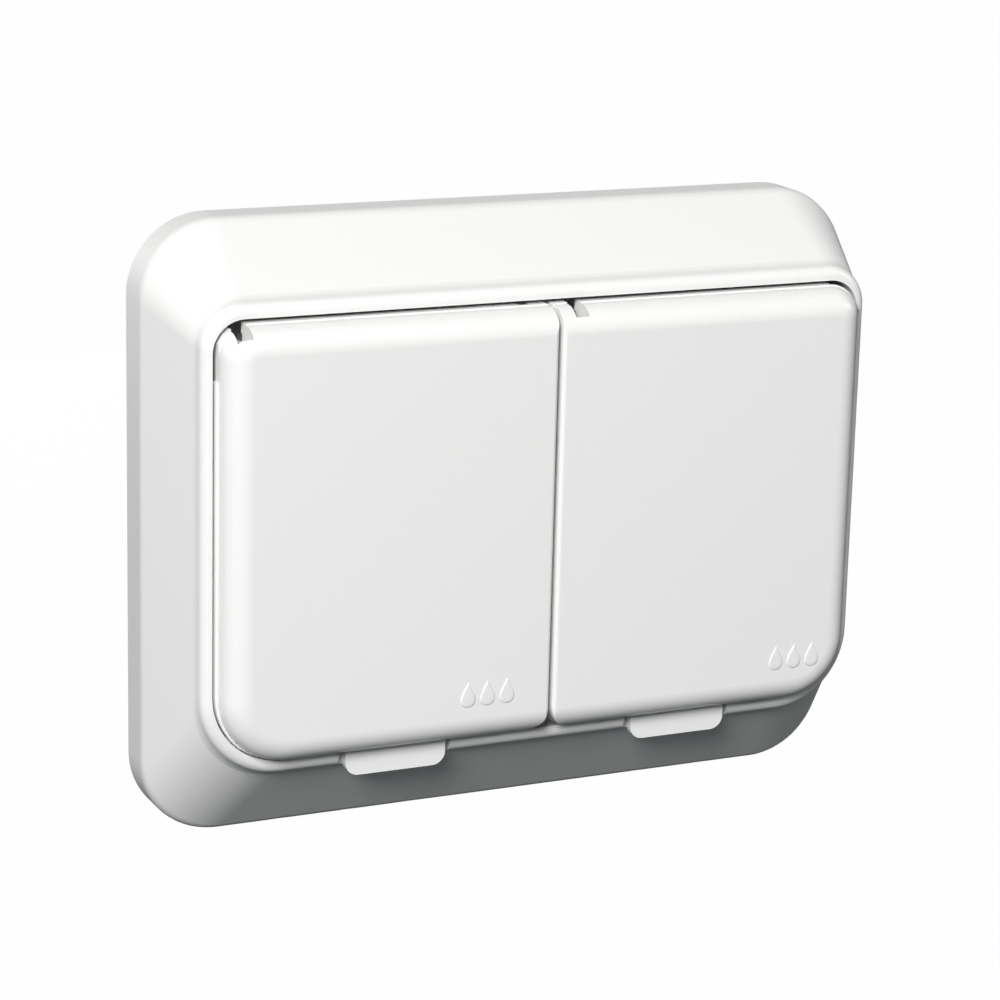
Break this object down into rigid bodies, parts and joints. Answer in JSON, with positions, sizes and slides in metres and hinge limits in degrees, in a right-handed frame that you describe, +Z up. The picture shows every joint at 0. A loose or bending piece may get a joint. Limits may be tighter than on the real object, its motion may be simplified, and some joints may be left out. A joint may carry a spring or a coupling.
{
  "type": "weatherproof double wall socket",
  "caption": "Wall-mounted weatherproof outlet pair: a sloping surround frame with sprung hinged lids, each closing on a sealed recessed outlet.",
  "frame": {"origin": "middle of the frame on the wall plane, halfway between the two outlets' centres", "axes": "+X to the right along the wall, +Z up, -Y out of the wall towards the user"},
  "size_m": [0.1572, 0.0548, 0.1268],
  "materials": {
    "shell_white": "satin gloss, moulded",
    "lid_white": "satin gloss, moulded",
    "inner_white": "satin, moulded",
    "foam_grey": "closed-cell foam",
    "seal_grey": "matt elastomer",
    "pin_steel": "drawn, bright",
    "spring_steel": "drawn wire",
    "contact_brass": "stamped, plain",
    "carrier_grey": "moulded thermoset",
    "screw_steel": "zinc plated",
    "plate_steel": "galvanised sheet"
  },
  "bodies": {
    "surround": {"frame_cover": "shell_white", "inner_plate": "inner_white", "wall_gasket": "foam_grey", "outlet_face_left": "inner_white", "outlet_face_right": "inner_white", "face_gasket_left": "seal_grey", "face_gasket_right": "seal_grey", "hinge_pin_left": "pin_steel", "hinge_pin_right": "pin_steel", "lid_spring_left": "spring_steel", "lid_spring_right": "spring_steel", "earth_strap_left": "contact_brass", "earth_strap_right": "contact_brass", "contact_line_left": "contact_brass", "contact_line_right": "contact_brass", "contact_neutral_left": "contact_brass", "contact_neutral_right": "contact_brass", "contact_carrier_left": "carrier_grey", "contact_carrier_right": "carrier_grey", "terminal_screws_left": "screw_steel", "terminal_screws_right": "screw_steel", "face_screw_left": "screw_steel", "face_screw_right": "screw_steel", "support_plate_left": "plate_steel", "support_plate_right": "plate_steel"},
    "left_lid": {"lid_left": "lid_white", "lid_seal_left": "seal_grey"},
    "right_lid": {"lid_right": "lid_white", "lid_seal_right": "seal_grey"}
  },
  "joints": [
    {"name": "lid_left_hinge", "type": "hinge", "parent": "surround", "child": "left_lid", "pos_m": [-0.0355, -0.0298, 0.041], "axis": [-1, 0, 0], "range_deg": [0, 110], "stiffness_Nm_per_rad": 0.03, "springref_deg": -34.38, "deforming": ["lid_spring_left"]},
    {"name": "lid_right_hinge", "type": "hinge", "parent": "surround", "child": "right_lid", "pos_m": [0.0355, -0.0298, 0.041], "axis": [-1, 0, 0], "range_deg": [0, 110], "stiffness_Nm_per_rad": 0.03, "springref_deg": -34.38, "deforming": ["lid_spring_right"]}
  ]
}
